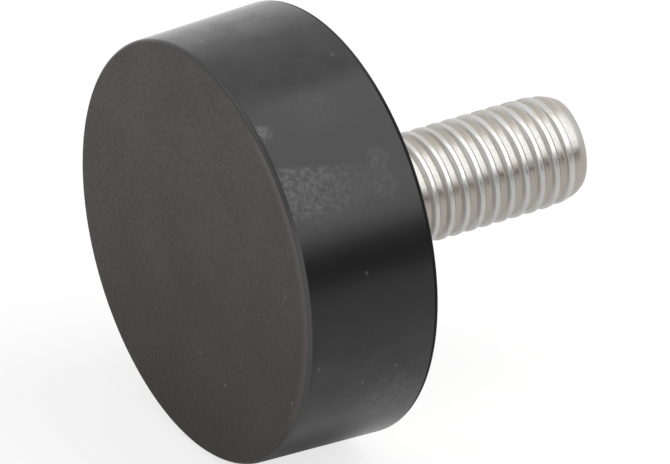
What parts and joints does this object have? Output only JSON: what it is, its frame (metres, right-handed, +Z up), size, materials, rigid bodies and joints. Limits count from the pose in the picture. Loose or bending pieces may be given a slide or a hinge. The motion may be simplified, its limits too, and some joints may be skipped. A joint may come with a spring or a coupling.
{
  "type": "rubber buffer",
  "caption": "Round rubber buffer bonded to a steel plate with a threaded stud, screwed to a frame to stop, cushion or carry what meets its flat rubber face.",
  "frame": {"origin": "centre of the mounting face, where the stud leaves the plate", "axes": "+Y along the stud, away from the rubber; the bumper face looks along -Y; +Z up, as screwed into an upright frame"},
  "size_m": [0.031, 0.0303, 0.031],
  "materials": {
    "black_rubber": "matt moulded rubber with a dusty grey bloom",
    "zinc_plated_steel": "bright zinc plate"
  },
  "bodies": {
    "root": {"rubber_block": "black_rubber", "steel_plate": "zinc_plated_steel", "threaded_stud": "zinc_plated_steel"}
  },
  "joints": []
}
